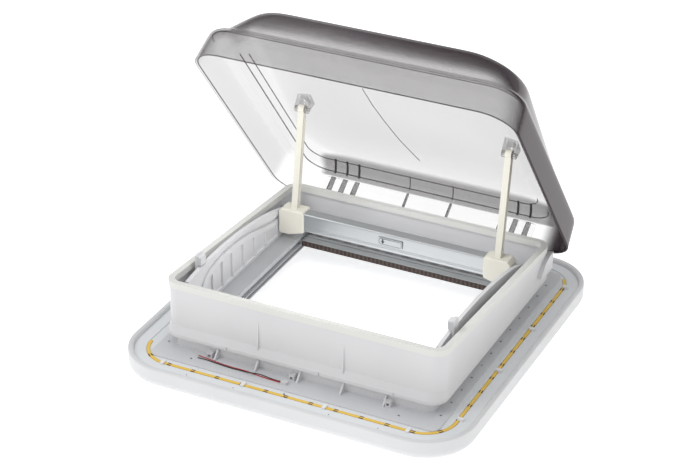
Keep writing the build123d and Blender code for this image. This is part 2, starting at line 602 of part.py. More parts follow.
SEAL_PLATE_H = 33.0
PANE_FOOT_H = SEAL_PLATE_H + PANE_SKIN + 0.1
PANE_RINGS = [
    (223.5, 1.0, 419.0, 42.0, PANE_FOOT_H, PANE_FOOT_H),
    (221.0, 3.0, 417.0, 41.0, 40.0, 41.0),
    (201.5, 23.5, 405.5, 60.0, 53.5, 87.5),
    (172.0, 54.0, 376.0, 50.0, 61.0, 93.0),
    (104.0, 121.0, 309.0, 34.0, 70.0, 90.0),
]
RIB_S_LOW, RIB_S_HIGH, RIB_HALF = 12.4, 419.8, 221.5
pane_solid = dome_stack(PANE_RINGS, 0, 0)
pane_hollow = dome_stack(PANE_RINGS, PANE_SKIN, PANE_SKIN)
with BuildPart() as seal_frame:
    with BuildSketch(ring_plane(-8.0, 436.0, SEAL_PLATE_H, SEAL_PLATE_H)):
        RectangleRounded(2 * 241.5, 444.0, 42)
    extrude(amount=PANE_SKIN)
    with BuildSketch(ring_plane(RIB_S_LOW, RIB_S_HIGH, SEAL_H, SEAL_H)):
        RectangleRounded(2 * RIB_HALF, RIB_S_HIGH - RIB_S_LOW, 20)
    extrude(amount=SEAL_PLATE_H - SEAL_H)
    with BuildSketch(ring_plane(RIB_S_LOW, RIB_S_HIGH, SEAL_H, SEAL_H)):
        RectangleRounded(2 * RIB_HALF - 6, RIB_S_HIGH - RIB_S_LOW - 6, 17)
    extrude(amount=SEAL_PLATE_H - SEAL_H + 2 * PANE_SKIN, mode=Mode.SUBTRACT)
save(seal_frame, "seal_frame")

with BuildPart() as dome_inner:
    add(pane_solid)
    add(pane_hollow, mode=Mode.SUBTRACT)
save(dome_inner, "dome_inner")

with BuildPart() as hinge_hooks:
    # strip along the inside of the rear wall, under the pane's edge
    with BuildSketch(lid_side(-180)):
        with Locations((7.6, 20)):
            Rectangle(2.4, 25)
    extrude(amount=360)
    for side in (-1, 1):
        for x in HOOK_X:
            with BuildSketch(lid_side(side * x - 4)):
                Circle(6.2)
                with BuildLine():
                    Polyline((0, -6.2), (7, -2), (8.8, 8), (8.8, 32.5), (5, 32.5), (3, 8), (-6.2, 2), close=True)
                make_face()
            extrude(amount=8)
        with BuildSketch(lid_side(side * 147 - 45)):
            Circle(HINGE_BORE_R)
        extrude(amount=90, mode=Mode.SUBTRACT)
        with BuildSketch(lid_side(side * 37 - 1.5)):
            with Locations((5.6, 20)):
                Rectangle(6, 25)
        extrude(amount=3)
save(hinge_hooks, "hinge_hooks")

PIN_Y, PIN_Z = lid_point(PIN_S, PIN_H)
BRACKET_TOP = 74.5
for side, side_name in ((-1, "left"), (1, "right")):
    with BuildPart() as lid_bracket:
        for x in (side * ARM_X - 11, side * ARM_X + 5.1):
            with BuildSketch(lid_side(x)):
                with BuildLine():
                    Polyline((-PIN_S - 13, BRACKET_TOP), (-PIN_S - 6.5, PIN_H))
                    ThreePointArc((-PIN_S - 6.5, PIN_H), (-PIN_S, PIN_H - 6.5), (-PIN_S + 6.5, PIN_H))
                    Polyline((-PIN_S + 6.5, PIN_H), (-PIN_S + 13, BRACKET_TOP), (-PIN_S - 13, BRACKET_TOP))
                make_face()
            extrude(amount=5.9)
        with BuildSketch(lid_side(side * ARM_X - 11)):
            with Locations((-PIN_S, BRACKET_TOP - 2)):
                Rectangle(26, 4)
        extrude(amount=22)
        with BuildSketch(lid_side(side * ARM_X - 12)):
            with Locations((-PIN_S, PIN_H)):
                Circle(PIVOT_R)
        extrude(amount=24, mode=Mode.SUBTRACT)
        add(pane_solid, mode=Mode.INTERSECT)
        add(pane_solid.cut(pane_hollow), mode=Mode.SUBTRACT)
    save(lid_bracket, f"lid_bracket_{side_name}")

    with BuildPart() as bracket_pin:
        with BuildSketch(side_plane(side * ARM_X - 12)):
            with Locations((PIN_Y, PIN_Z)):
                Circle(PIVOT_R)
        extrude(amount=24)
    save(bracket_pin, f"bracket_pin_{side_name}")

# ---------------------------------------------------------------- stay bow
ALONG = Vector(0, PIN_Y - BOW_Y, PIN_Z - BOW_Z).normalized()
ACROSS = Vector(0, -ALONG.Z, ALONG.Y)
BLOCK_BACK = 127.0


def arm_point(distance, offset):
    """Y and Z of a point beside the line from the bow's end to the bracket pin."""
    place = Vector(0, BOW_Y, BOW_Z) + ALONG * distance + ACROSS * offset
    return place.Y, place.Z


ARM_LENGTH = math.hypot(PIN_Y - BOW_Y, PIN_Z - BOW_Z)
for side, side_name in ((-1, "left"), (1, "right")):
    with BuildPart() as bow_arm:
        with BuildSketch(Plane.XZ.offset(-103)):
            outline = [(151, 76), (168, 71), (178, 68), (BLOCK_OUT, 68), (BLOCK_OUT, 106), (190, 112), (151, 112)]
            with BuildLine():
                Polyline(*[(side * x, z) for x, z in outline], close=True)
            make_face()
        extrude(amount=-(BLOCK_BACK - 103))
        fillet(bow_arm.edges().filter_by(Axis.Y), 4)
        fillet(bow_arm.faces().sort_by(Axis.Y)[0].outer_wire().edges(), 2.6)
        with BuildSketch(side_plane(side * ARM_X - 5)):
            with BuildLine():
                Polyline(arm_point(10, 6.5), arm_point(40, 5), arm_point(ARM_LENGTH, 4.6),
                         arm_point(ARM_LENGTH, -4.6), arm_point(40, -5), arm_point(10, -6.5), close=True)
            make_face()
            with Locations((PIN_Y, PIN_Z)):
                Circle(6.5)
        extrude(amount=10)
        for x in (side * ARM_X - 5, side * ARM_X + 2.5):
            with BuildSketch(side_plane(x)):
                with BuildLine():
                    Polyline(arm_point(30, 3), arm_point(45, 2.8), arm_point(ARM_LENGTH - 14, 2.6),
                             arm_point(ARM_LENGTH - 14, -2.6), arm_point(45, -2.8), arm_point(30, -3), close=True)
                make_face()
            extrude(amount=2.5, mode=Mode.SUBTRACT)
        with BuildSketch(side_plane(side * ARM_X - 6)):
            with Locations((PIN_Y, PIN_Z)):
                Circle(PIVOT_BORE_R)
        extrude(amount=12, mode=Mode.SUBTRACT)
        pocket_mid = side * (BLOCK_IN + 4.55)
        with Locations((pocket_mid, (BAR_FRONT + BAR_BACK) / 2, (BAR_BOTTOM + BAR_TOP) / 2)):
            Box(9.2, BAR_BACK - BAR_FRONT + 0.1, BAR_TOP - BAR_BOTTOM + 0.1, mode=Mode.SUBTRACT)
        with BuildSketch(side_plane(side * (BLOCK_IN + BLOCK_OUT) / 2 - 24)):
            with Locations((BOW_Y, BOW_Z)):
                Circle(BOLT_BORE_R)
        extrude(amount=48, mode=Mode.SUBTRACT)
    save(bow_arm, f"bow_arm_{side_name}")

    with BuildPart() as lock_bolt:
        inner, outer = 150.0, 196.3
        with BuildSketch(side_plane(min(side * inner, side * outer))):
            with Locations((BOW_Y, BOW_Z)):
                Circle(BOLT_R)
        extrude(amount=outer - inner)
        with Locations((side * (LINK_INNER + inner + 1) / 2, BOW_Y, BOW_Z)):
            Box(inner + 1 - LINK_INNER, 2.4, 5)
    save(lock_bolt, f"lock_bolt_{side_name}")

with BuildPart() as operating_bar:
    with Locations((0, (BAR_FRONT + BAR_BACK) / 2, (BAR_BOTTOM + BAR_TOP) / 2)):
        Box(320, BAR_BACK - BAR_FRONT, BAR_TOP - BAR_BOTTOM)
        fillet(operating_bar.edges().filter_by(Axis.X), 2.5)
        Box(322, BAR_BACK - BAR_FRONT - 5, BAR_TOP - BAR_BOTTOM - 5, mode=Mode.SUBTRACT)
    for z in (BAR_BOTTOM + 6, BAR_BOTTOM + 8.5):
        with Locations((0, BAR_FRONT, z)):
            Box(322, 1.2, 1.2, mode=Mode.SUBTRACT)
    with Locations((BUTTON_X, BAR_FRONT, BUTTON_Z)):
        Box(BUTTON_W + 0.6, 8, BUTTON_H + 0.6, mode=Mode.SUBTRACT)
save(operating_bar, "operating_bar")

with BuildPart() as bar_button:
    with Locations((BUTTON_X, BAR_FRONT - 2.4, BUTTON_Z)):
        Box(BUTTON_W, 7.4, BUTTON_H, align=(Align.CENTER, Align.MIN, Align.CENTER))
    fillet(bar_button.edges().filter_by(Axis.Y), 2)
    fillet(bar_button.faces().sort_by(Axis.Y)[0].outer_wire().edges(), 0.8)
save(bar_button, "bar_button")

SPRING_START, SPRING_END = BAR_FRONT + 5.0, BAR_BACK - 2.5
with BuildPart() as button_spring:
    spring_foot = (BUTTON_X, SPRING_START + 0.5, BUTTON_Z)
    with BuildLine():
        coil = Helix(pitch=2.6, height=SPRING_END - SPRING_START - 1.0, radius=4, center=spring_foot,
                     direction=(0, 1, 0))
    with BuildSketch(Plane(origin=coil @ 0, z_dir=coil % 0)):
        Circle(0.4)
    sweep()
save(button_spring, "button_spring")
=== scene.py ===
"""Roof vent cover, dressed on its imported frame: metres, X along the hinge, +Y to the hinge side, +Z up."""

import json
import math

import bmesh
import bpy
from mathutils import Matrix, Vector


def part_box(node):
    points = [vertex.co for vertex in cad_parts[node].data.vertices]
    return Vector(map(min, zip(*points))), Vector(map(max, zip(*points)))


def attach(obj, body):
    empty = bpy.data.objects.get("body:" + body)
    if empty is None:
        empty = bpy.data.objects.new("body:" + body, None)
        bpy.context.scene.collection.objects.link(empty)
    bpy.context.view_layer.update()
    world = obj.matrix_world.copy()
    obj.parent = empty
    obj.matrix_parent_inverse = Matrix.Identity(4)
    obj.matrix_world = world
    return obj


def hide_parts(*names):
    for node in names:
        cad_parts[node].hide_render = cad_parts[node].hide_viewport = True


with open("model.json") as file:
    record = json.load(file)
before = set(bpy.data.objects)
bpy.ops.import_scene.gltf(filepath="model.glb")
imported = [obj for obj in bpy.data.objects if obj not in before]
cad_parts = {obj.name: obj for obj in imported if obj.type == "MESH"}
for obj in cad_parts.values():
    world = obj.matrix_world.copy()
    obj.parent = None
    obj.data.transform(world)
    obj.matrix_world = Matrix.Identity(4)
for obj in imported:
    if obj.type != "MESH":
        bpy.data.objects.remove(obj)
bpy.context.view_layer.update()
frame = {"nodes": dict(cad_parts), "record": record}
NODES = frame["nodes"]

# ---------------------------------------------------------------- driving values
CAMERA_AT = (1.2097, -2.525, 1.736)
CAMERA_AZIMUTH, CAMERA_ELEVATION, CAMERA_ROLL = 25.97, 29.28, 0.23
CAMERA_LENS, CAMERA_SENSOR = 112.1, 36.0

WORLD_STRENGTH, FLOOR_GLOW = 0.60, 0.55
FLOOR_HALF, FLOOR_Z = 15, -0.0005
KEY_POWER, TOP_POWER, INNER_POWER = 23, 17, 0.65
GLASS_BOUNCES = 32

JOINTS = {joint["name"]: joint for joint in frame["record"]["behaviour"]["joints"]}
HINGE = Vector(JOINTS["lid_hinge"]["pos_m"])
OPEN_ANGLE = math.radians(52.0)
DOME_SKIN = 0.003

LID_S = Vector((0, -math.cos(OPEN_ANGLE), math.sin(OPEN_ANGLE)))
LID_H = Vector((0, math.sin(OPEN_ANGLE), math.cos(OPEN_ANGLE)))

LED_X, LED_Y, LED_R = 0.488, 0.501, 0.048
PAD_PITCH, PAD_OFFSET = 0.0395, 0.0019
PAD_SIZE = (0.0064, 0.0017, 0.0006)
PADS_RIGHT, FIRST_RIGHT = 18, 0.002
PADS_LEFT, FIRST_LEFT = 6, -0.030

# screw holes in the flange and rivet holes in the light panel, and the shade that stands in each
SCREW_ROW_X, SCREW_PITCH, SCREWS_A_SIDE = 0.2185, 0.0361, 12
END_SCREW_X, END_SCREW_Y = 0.166, 0.225
SCREW_SHADE_R, SCREW_SHADE_Z = 0.0017, 0.0283
RIVET_X, RIVET_Y = (-0.152, -0.076, 0.076, 0.152), 0.2635
RIVET_SHADE_R, PANEL_SHADE_Z = 0.00105, 0.0274
SINGLE_HOLE = (-0.0035, -0.2455)

WIRE_D = 0.0014

HOOK_X, HOOK_REACH, HOOK_RIB_R = (0.126, 0.147, 0.168), 0.0045, 0.0020
MID_RIB_X, MID_RIB_REACH, MID_RIB_R = 0.037, 0.002, 0.0008


def lid_point(x, s, h):
    """A point given in lid axes: x along the hinge, s to the free edge, h away from the roof."""
    return HINGE + Vector((x, 0, 0)) + LID_S * s + LID_H * h


# ---------------------------------------------------------------- camera
def make_camera():
    data = bpy.data.cameras.new("camera")
    data.lens, data.sensor_width = CAMERA_LENS, CAMERA_SENSOR
    data.clip_end = 50
    camera = bpy.data.objects.new("camera", data)
    bpy.context.scene.collection.objects.link(camera)
    turn = Matrix.Rotation(math.radians(CAMERA_AZIMUTH), 4, "Z")
    tip = Matrix.Rotation(math.radians(90 - CAMERA_ELEVATION), 4, "X")
    roll = Matrix.Rotation(math.radians(CAMERA_ROLL), 4, "Z")
    camera.matrix_world = Matrix.Translation(CAMERA_AT) @ turn @ tip @ roll
    bpy.context.scene.camera = camera


# ---------------------------------------------------------------- materials
def new_material(name):
    material = bpy.data.materials.new(name)
    material.use_nodes = True
    tree = material.node_tree
    shader = tree.nodes["Principled BSDF"]
    return material, tree, shader


def object_coords(tree, scale=(1, 1, 1)):
    coords = tree.nodes.new("ShaderNodeTexCoord")
    mapping = tree.nodes.new("ShaderNodeMapping")
    mapping.inputs["Scale"].default_value = scale
    tree.links.new(coords.outputs["Object"], mapping.inputs["Vector"])
    return mapping.outputs["Vector"]


def add_noise(tree, coords, scale, detail=4.0):
    noise = tree.nodes.new("ShaderNodeTexNoise")
    noise.inputs["Scale"].default_value = scale
    noise.inputs["Detail"].default_value = detail
    tree.links.new(coords, noise.inputs["Vector"])
    return noise.outputs["Fac"]


def add_bump(tree, shader, height, strength, distance):
    bump = tree.nodes.new("ShaderNodeBump")
    bump.inputs["Strength"].default_value = strength
    bump.inputs["Distance"].default_value = distance
    tree.links.new(height, bump.inputs["Height"])
    tree.links.new(bump.outputs["Normal"], shader.inputs["Normal"])


def mix_colours(tree, factor, low, high, start=0.3, stop=0.7):
    ramp = tree.nodes.new("ShaderNodeValToRGB")
    ramp.color_ramp.elements[0].position, ramp.color_ramp.elements[0].color = start, (*low, 1)
    ramp.color_ramp.elements[1].position, ramp.color_ramp.elements[1].color = stop, (*high, 1)
    tree.links.new(factor, ramp.inputs["Fac"])
    return ramp.outputs["Color"]


def vary_roughness(tree, shader, factor, low, high):
    spread = tree.nodes.new("ShaderNodeMapRange")
    spread.inputs["To Min"].default_value = low
    spread.inputs["To Max"].default_value = high
    tree.links.new(factor, spread.inputs["Value"])
    tree.links.new(spread.outputs["Result"], shader.inputs["Roughness"])


def moulded_plastic(name, colour, rough=0.38, shift=0.02, grain=0.00005):
    """Moulded plastic: slow colour drift, fine grain and uneven gloss."""
    material, tree, shader = new_material(name)
    coords = object_coords(tree)
    drift = add_noise(tree, coords, 9, 2)
    low = tuple(max(0.0, c - shift) for c in colour)
    high = tuple(min(1.0, c + shift) for c in colour)
    tree.links.new(mix_colours(tree, drift, low, high), shader.inputs["Base Color"])
    vary_roughness(tree, shader, add_noise(tree, coords, 60), rough - 0.06, rough + 0.08)
    add_bump(tree, shader, add_noise(tree, coords, 1400, 2), 0.25, grain)
    shader.inputs["Specular IOR Level"].default_value = 0.45
    return material


def brushed_metal(name, colour, along=(8, 900, 900), rough=0.3):
    """Drawn or anodised metal with fine lines along X."""
    material, tree, shader = new_material(name)
    lines = add_noise(tree, object_coords(tree, along), 1, 3)
    low = tuple(c * 0.93 for c in colour)
    tree.links.new(mix_colours(tree, lines, low, colour), shader.inputs["Base Color"])
    vary_roughness(tree, shader, lines, rough - 0.05, rough + 0.1)
    add_bump(tree, shader, lines, 0.15, 0.00003)
    shader.inputs["Metallic"].default_value = 0.85
    return material


def field(tree, direction, low, high):
    """0 to 1 over the surface, from low to high metres along a direction from the hinge."""
    coords = tree.nodes.new("ShaderNodeTexCoord")
    dot = tree.nodes.new("ShaderNodeVectorMath")
    dot.operation = "DOT_PRODUCT"
    dot.inputs[1].default_value = direction
    tree.links.new(coords.outputs["Object"], dot.inputs[0])
    ramp = tree.nodes.new("ShaderNodeMapRange")
    ramp.interpolation_type = "SMOOTHSTEP"
    start = direction.dot(HINGE)
    ramp.inputs["From Min"].default_value = start + min(low, high)
    ramp.inputs["From Max"].default_value = start + max(low, high)
    ramp.inputs["To Min"].default_value = 0.0 if low < high else 1.0
    ramp.inputs["To Max"].default_value = 1.0 if low < high else 0.0
    tree.links.new(dot.outputs["Value"], ramp.inputs["Value"])
    return ramp.outputs["Result"]


def combine(tree, operation, first, second):
    """A clamped sum, product or power of two sockets or numbers."""
    node = tree.nodes.new("ShaderNodeMath")
    node.operation = operation
    node.use_clamp = True
    for socket, value in zip(node.inputs, (first, second)):
        if isinstance(value, float):
            socket.default_value = value
        else:
            tree.links.new(value, socket)
    return node.outputs["Value"]


def tinted_glass(name, colour, face_alpha, edge_alpha, steepness=3.0, shade_zones=()):
    """Thin tinted acrylic: clear face on, darker where seen edge on, and darker in each shade zone, which is
    painted shade.

    A shade zone is (depth, (direction, low, high), ...): it is the product of its fields, and it darkens the
    glass by place as painted shade, though the tint is even."""
    material, tree, shader = new_material(name)
    shader.inputs["Base Color"].default_value = (*colour, 1)
    shader.inputs["Roughness"].default_value = 0.05
    shader.inputs["IOR"].default_value = 1.18
    weight = tree.nodes.new("ShaderNodeLayerWeight")
    weight.inputs["Blend"].default_value = 0.5
    curve = combine(tree, "POWER", weight.outputs["Facing"], steepness)
    spread = tree.nodes.new("ShaderNodeMapRange")
    spread.inputs["To Min"].default_value = face_alpha
    spread.inputs["To Max"].default_value = edge_alpha
    tree.links.new(curve, spread.inputs["Value"])
    alpha = spread.outputs["Result"]
    for depth, *fields in shade_zones:
        shade_zone = depth
        for direction, low, high in fields:
            shade_zone = combine(tree, "MULTIPLY", field(tree, direction, low, high), shade_zone)
        alpha = combine(tree, "ADD", alpha, shade_zone)
    tree.links.new(alpha, shader.inputs["Alpha"])
    return material


def hatched(name, dark, light, pitch):
    """Pile or pleat seen as fine stripes across X."""
    material, tree, shader = new_material(name)
    wave = tree.nodes.new("ShaderNodeTexWave")
    wave.bands_direction = "X"
    wave.inputs["Scale"].default_value = 1 / pitch / 20
    wave.inputs["Distortion"].default_value = 1.2
    tree.links.new(object_coords(tree), wave.inputs["Vector"])
    stripes = mix_colours(tree, wave.outputs["Fac"], dark, light, 0.2, 0.8)
    tree.links.new(stripes, shader.inputs["Base Color"])
    shader.inputs["Roughness"].default_value = 0.8
    add_bump(tree, shader, wave.outputs["Fac"], 0.5, 0.0004)
    return material


RIGHT, LEFT = Vector((1, 0, 0)), Vector((-1, 0, 0))
# the dome's tint is even; these zones darken it by place: painted shade on the right side and on the front
# slope above the ridge and its top edge, and a darker band along the hinge strip
DOME_SHADE_ZONES = [
    (0.80, (RIGHT, 0.188, 0.224), (LID_S, 0.44, 0.38)),
    (0.16, (LID_S, 0.330, 0.370), (LID_H, 0.052, 0.070)),
    (0.14, (LID_S, 0.340, 0.380), (LID_H, 0.070, 0.090)),
    (0.14, (LID_S, 0.340, 0.380), (LID_H, 0.056, 0.080), (RIGHT, -0.10, 0.20)),
    (0.12, (LID_S, 0.41, 0.43), (LID_H, 0.052, 0.040)),
    (0.36, (LID_S, 0.022, 0.012), (LID_H, 0.036, 0.038), (RIGHT, 0.215, 0.195), (LEFT, 0.200, 0.185)),
]


def make_materials():
    return {
        "white": moulded_plastic("white_frame", (0.73, 0.735, 0.745), 0.36),
        "tray": moulded_plastic("tray_white", (0.81, 0.835, 0.855), 0.42),
        "wall": moulded_plastic("wall_white", (0.74, 0.74, 0.755), 0.34),
        # a darker copy of the frame's white: painted shade for the collar's shadow on the flange
        "flange": moulded_plastic("flange_white_painted_shade", (0.70, 0.71, 0.73), 0.42),
        "gasket": moulded_plastic("gasket_rubber", (0.79, 0.79, 0.765), 0.55, 0.015, 0.00008),
        "cream": moulded_plastic("arm_cream", (0.77, 0.75, 0.665), 0.32),
        "grey": moulded_plastic("rail_grey", (0.46, 0.47, 0.485), 0.4),
        "clip": moulded_plastic("clip_white", (0.88, 0.88, 0.87), 0.4),
        "black": moulded_plastic("black_plastic", (0.02, 0.02, 0.02), 0.4, 0.005),
        "silver": brushed_metal("satin_aluminium", (0.56, 0.58, 0.59)),
        "steel": brushed_metal("bright_steel", (0.55, 0.54, 0.52), (300, 60, 60), 0.25),
        "led": moulded_plastic("led_phosphor", (0.93, 0.62, 0.10), 0.3, 0.02),
        "solder": moulded_plastic("led_pad", (0.10, 0.05, 0.03), 0.35, 0.01),
        "red": moulded_plastic("wire_red_pvc", (0.52, 0.03, 0.04), 0.35, 0.02),
        "dark": moulded_plastic("wire_black_pvc", (0.02, 0.018, 0.018), 0.35, 0.006),
        "brush": hatched("pile_brown", (0.04, 0.027, 0.023), (0.085, 0.06, 0.052), 0.0011),
        "pleat": hatched("pleat_grey", (0.42, 0.42, 0.43), (0.55, 0.55, 0.56), 0.004),
        "mesh": hatched("mesh_dark", (0.08, 0.08, 0.085), (0.16, 0.16, 0.165), 0.0016),
        # its shade zones paint shade onto the dome's even tint
        "dome": tinted_glass("dome_tint_painted_shade", (0.055, 0.041, 0.048), 0.09, 0.72, 2.4, shade_zones=DOME_SHADE_ZONES),
        "pane": tinted_glass("pane_clear", (0.30, 0.29, 0.29), 0.02, 0.05),
        "faint": tinted_glass("plate_clear", (0.34, 0.33, 0.33), 0.008, 0.02),
        "clear": tinted_glass("clear_plastic", (0.35, 0.34, 0.34), 0.07, 0.9, 1.8),
        "strip": tinted_glass("strip_clear", (0.30, 0.29, 0.29), 0.05, 0.3),
        "smoke": tinted_glass("hook_smoke", (0.055, 0.045, 0.045), 0.72, 0.97, 1.5),
        "edge": tinted_glass("edge_tint", (0.05, 0.035, 0.04), 0.55, 0.85, 2.0),
        "shade": moulded_plastic("hole_shade", (0.10, 0.095, 0.09), 0.6, 0.01),
    }


def paint(node, material):
    node = NODES[node]
    node.data.materials.clear()
    node.data.materials.append(material)


def paint_hooks(clear):
    """The long strip between the hooks is clear, and the hooks keep their own dark material."""
    mesh = NODES["hinge_hooks"].data
    mesh.materials.append(clear)
    for face in mesh.polygons:
        across = abs(face.center.x)
        hook = any(abs(across - x) < HOOK_REACH for x in HOOK_X)
        mid_rib = abs(across - MID_RIB_X) < MID_RIB_REACH
        face.material_index = 0 if hook or mid_rib else 1


# ---------------------------------------------------------------- small mesh helpers
def add_object(name, mesh, body, material, smooth=True):
    piece = bpy.data.objects.new(name, mesh)
    bpy.context.scene.collection.objects.link(piece)
    mesh.materials.append(material)
    for face in mesh.polygons:
        face.use_smooth = smooth
    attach(piece, body)
    return piece


def boxes_mesh(name, boxes):
    """One mesh of bevelled boxes, each (centre, size, turn about Z)."""
    build = bmesh.new()
    for centre, size, turn in boxes:
        place = Matrix.Translation(centre) @ Matrix.Rotation(turn, 4, "Z") @ Matrix.Diagonal((*size, 1))
        bmesh.ops.create_cube(build, size=1, matrix=place)
    bmesh.ops.bevel(build, geom=build.edges[:], offset=0.00015, segments=1, affect="EDGES")
    mesh = bpy.data.meshes.new(name)
    build.to_mesh(mesh)
    build.free()
    return mesh


# ---------------------------------------------------------------- wires
WIRE_RED = [
    (-19, -225.4, 31.4), (-29, -225.0, 30.9), (-42, -224.4, 30.8), (-55, -223.2, 30.8),
    (-69, -221.0, 30.8), (-84, -220.2, 30.8), (-100, -220.6, 30.8), (-117, -219.6, 30.8),
    (-133, -217.8, 30.8), (-147, -215.4, 30.8), (-160, -214.4, 31.0),
]
WIRE_BLACK = [
    (-19, -223.2, 31.4), (-29, -222.9, 30.9), (-40, -222.0, 31.1), (-51, -221.6, 32.4),
    (-58, -222.2, 33.0), (-66, -223.8, 33.0), (-74, -224.0, 31.9), (-86, -222.8, 30.9),
    (-101, -223.2, 30.8), (-117, -222.2, 30.8), (-133, -220.6, 30.8), (-146, -219.2, 30.8),
    (-158, -219.9, 31.0),
]


def make_wire(name, route, material):
    """A free lead along its route, which is in millimetres."""
    points = [(x / 1000, y / 1000, z / 1000) for x, y, z in route]
    data = bpy.data.curves.new(name, "CURVE")
    data.dimensions = "3D"
    data.bevel_depth = WIRE_D / 2
    data.bevel_resolution = 4
    data.resolution_u = 8
    data.use_fill_caps = True
    spline = data.splines.new("NURBS")
    spline.points.add(len(points) - 1)
    for point, place in zip(spline.points, points):
        point.co = (*place, 1)
    spline.order_u = 3
    spline.use_endpoint_u = True
    data.materials.append(material)
    piece = bpy.data.objects.new(name, data)
    bpy.context.scene.collection.objects.link(piece)
    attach(piece, "base")
    node = name.replace("_lead", "")
    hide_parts(node)


# ---------------------------------------------------------------- light strip
def led_path(distance):
    """Point and heading along the strip, counted from the middle of the front to the right."""
    half_x, half_y, r = LED_X / 2, LED_Y / 2, LED_R
    front, arc, side = half_x - r, r * math.pi / 2, 2 * (half_y - r)
    sign = 1 if distance >= 0 else -1
    d = abs(distance)
    if d < front:
        return sign * d, -half_y, 0.0
    if d < front + arc:
        a = (d - front) / r
        return sign * (front + r * math.sin(a)), -half_y + r - r * math.cos(a), sign * a
    return sign * half_x, -half_y + r + d - front - arc, sign * math.pi / 2


def make_pads(material):
    """Pairs of solder pads across the strip, at an even pitch both ways from the front."""
    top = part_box("led_strip_right")[1][2]
    boxes = []
    distances = [FIRST_RIGHT + i * PAD_PITCH for i in range(PADS_RIGHT)]
    distances += [FIRST_LEFT - i * PAD_PITCH for i in range(PADS_LEFT)]
    for distance in distances:
        x, y, turn = led_path(distance)
        for offset in (-PAD_OFFSET, PAD_OFFSET):
            place = Vector((x, y, top)) + Matrix.Rotation(turn, 3, "Z") @ Vector((0, offset, 0))
            boxes.append((place, PAD_SIZE, turn))
    piece = add_object("led_pads", boxes_mesh("led_pads", boxes), "base", material, smooth=False)


def make_hole_shades(material):
    """Dark discs at the bottom of the screw and rivet holes."""
    rows = [(i - (SCREWS_A_SIDE - 1) / 2) * SCREW_PITCH for i in range(SCREWS_A_SIDE)]
    screws = [(side * SCREW_ROW_X, y) for side in (-1, 1) for y in rows]
    screws += [(x, y) for x in (-END_SCREW_X, END_SCREW_X) for y in (-END_SCREW_Y, END_SCREW_Y)]
    rivets = [(x, y) for x in RIVET_X for y in (-RIVET_Y, RIVET_Y)]
    places = [(x, y, SCREW_SHADE_Z, SCREW_SHADE_R) for x, y in screws]
    places += [(x, y, PANEL_SHADE_Z, RIVET_SHADE_R) for x, y in rivets]
    places.append((*SINGLE_HOLE, PANEL_SHADE_Z, SCREW_SHADE_R))
    build = bmesh.new()
    for x, y, z, radius in places:
        bmesh.ops.create_cone(
            build, cap_ends=True, segments=16, radius1=radius, radius2=radius, depth=0.0003,
            matrix=Matrix.Translation((x, y, z)),
        )
    mesh = bpy.data.meshes.new("hole_shades")
    build.to_mesh(mesh)
    build.free()
    piece = add_object("hole_shades", mesh, "base", material, smooth=False)


# ---------------------------------------------------------------- dome
# each ring: half width, s at the hinge and free ends, corner radius, h at the hinge and free ends
DOME_RINGS = [
    (0.2500, -0.0140, 0.4450, 0.050, -0.0060, -0.0060),
    (0.2499, -0.0139, 0.4449, 0.050, -0.0045, -0.0045),
    (0.2480, -0.0130, 0.4428, 0.0485, 0.0170, 0.0170),
    (0.2463, -0.0121, 0.4408, 0.047, 0.0350, 0.0350),
    (0.2452, -0.0116, 0.4398, 0.0465, 0.0395, 0.0395),
    (0.2422, -0.0104, 0.4370, 0.045, 0.0422, 0.0425),
    (0.2390, -0.0090, 0.4320, 0.0455, 0.0446, 0.0452),
    (0.2370, -0.0074, 0.4277, 0.047, 0.0470, 0.0484),
    (0.2350, -0.0052, 0.4260, 0.050, 0.0484, 0.0520),
    (0.2290, 0.0050, 0.4200, 0.062, 0.0535, 0.0710),
    (0.2222, 0.0138, 0.4142, 0.072, 0.0584, 0.0890),
    (0.2190, 0.0170, 0.4120, 0.075, 0.0605, 0.0940),
    (0.2140, 0.0222, 0.4070, 0.074, 0.0622, 0.0968),
    (0.1900, 0.0480, 0.3820, 0.066, 0.0680, 0.0998),
    (0.1500, 0.0850, 0.3450, 0.054, 0.0735, 0.0995),
    (0.0880, 0.1450, 0.2850, 0.040, 0.0790, 0.0965),
]
CORNER_STEPS, EDGE_STEPS = 10, 8


def ring_points(half, s_low, s_high, r, h_low, h_high, cut=0.0, drop=0.0):
    """Points round a rounded rectangle in lid axes, drawn in by cut and lowered by drop."""
    half, s_low, s_high, r = half - cut, s_low + cut, s_high - cut, max(r - cut, 0.004)
    outline = []
    corners = [
        (half - r, s_high - r, 0), (-half + r, s_high - r, 90),
        (-half + r, s_low + r, 180), (half - r, s_low + r, 270),
    ]
    for (cx, cs, start), (nx, ns, following) in zip(corners, corners[1:] + corners[:1]):
        for i in range(CORNER_STEPS + 1):
            a = math.radians(start + 90 * i / CORNER_STEPS)
            outline.append((cx + r * math.cos(a), cs + r * math.sin(a)))
        b = math.radians(following)
        end = (nx + r * math.cos(b), ns + r * math.sin(b))
        last = outline[-1]
        for i in range(1, EDGE_STEPS):
            t = i / EDGE_STEPS
            outline.append((last[0] + (end[0] - last[0]) * t, last[1] + (end[1] - last[1]) * t))
    points = []
    for x, s in outline:
        h = h_low + (h_high - h_low) * (s - s_low) / (s_high - s_low) - drop
        points.append(lid_point(x, s, h))
    return points


def loft_mesh(name, rings):
    """The dome's outer skin: bands between the rings and a fan over the last one."""
    build = bmesh.new()
    rows = [[build.verts.new(p) for p in ring] for ring in rings]
    for lower, upper in zip(rows, rows[1:]):
        for i in range(len(lower)):
            j = (i + 1) % len(lower)
            build.faces.new((lower[i], lower[j], upper[j], upper[i]))
    centre = sum((v.co for v in rows[-1]), Vector()) / len(rows[-1])
    hub = build.verts.new(centre + lid_point(0, 0, 0.0012) - HINGE)
    for i in range(len(rows[-1])):
        build.faces.new((rows[-1][i], rows[-1][(i + 1) % len(rows[-1])], hub))
    mesh = bpy.data.meshes.new(name)
    build.to_mesh(mesh)
    build.free()
    return mesh


